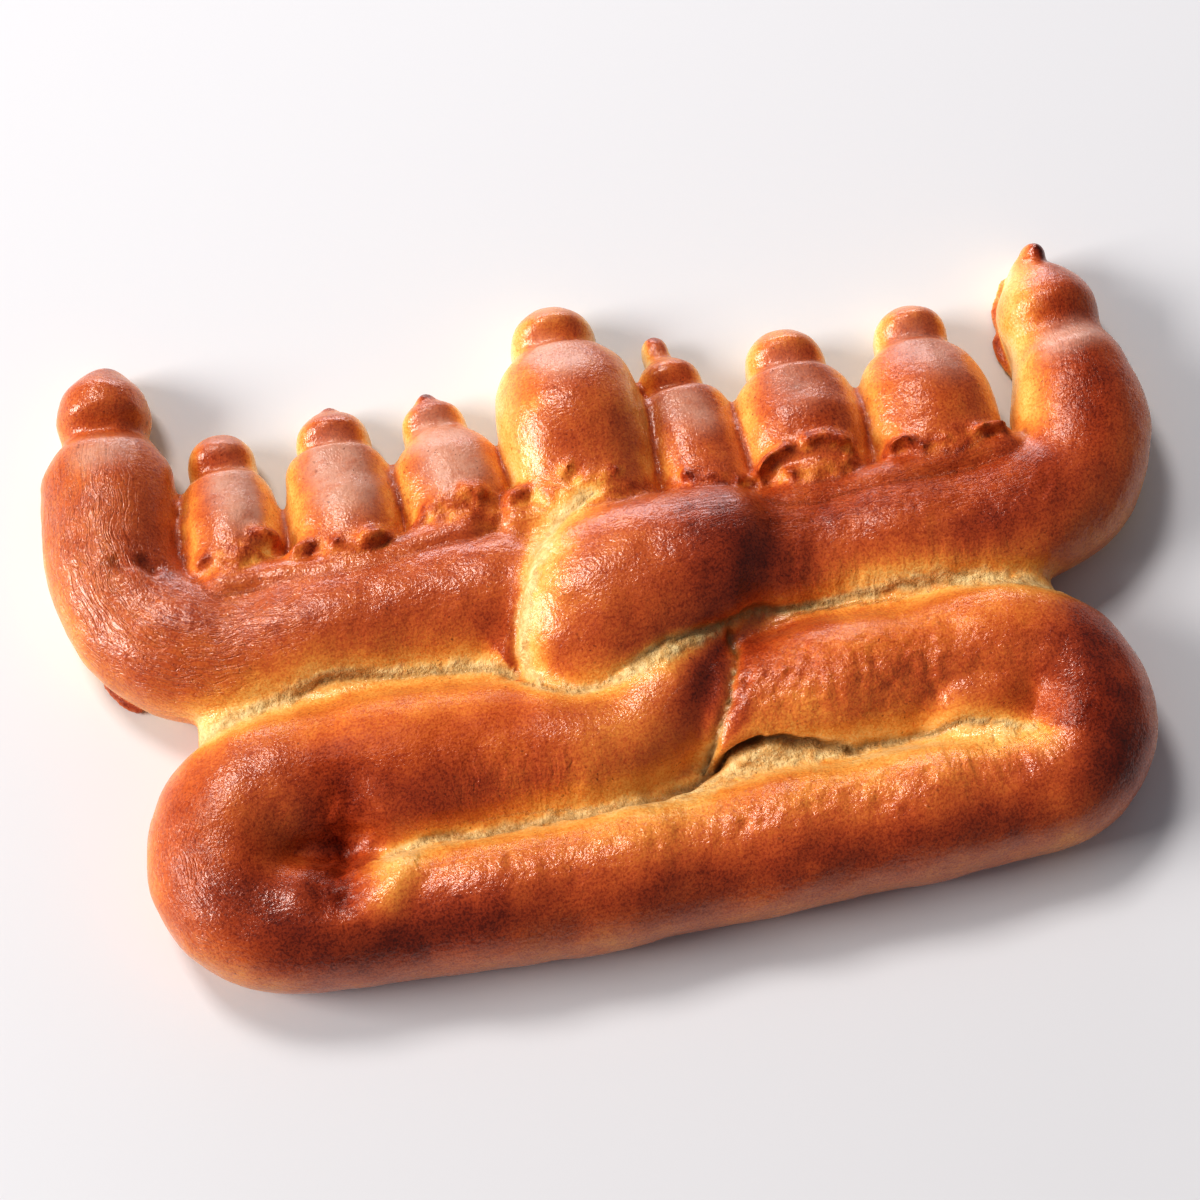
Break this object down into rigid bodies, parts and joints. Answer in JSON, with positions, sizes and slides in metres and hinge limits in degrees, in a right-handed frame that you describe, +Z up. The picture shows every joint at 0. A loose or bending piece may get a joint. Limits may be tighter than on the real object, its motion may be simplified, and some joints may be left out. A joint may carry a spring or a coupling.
{
  "type": "menorah challah",
  "caption": "Braided egg bread baked flat in the shape of a candelabrum: a racetrack stand, a knot, two arms and a row of candle rolls with pinched flames.",
  "frame": {"origin": "middle of the loaf's box, on the table it lies on", "axes": "+X along the stand, towards the shorter arm; +Y from the stand towards the flames; +Z up off the table"},
  "size_m": [0.4306, 0.2742, 0.0528],
  "materials": {
    "crust": "egg-washed bread crust: red-brown tops with a soft gloss, golden flanks and pale matt seams"
  },
  "bodies": {
    "root": {"challah_loaf": "crust"}
  },
  "joints": []
}
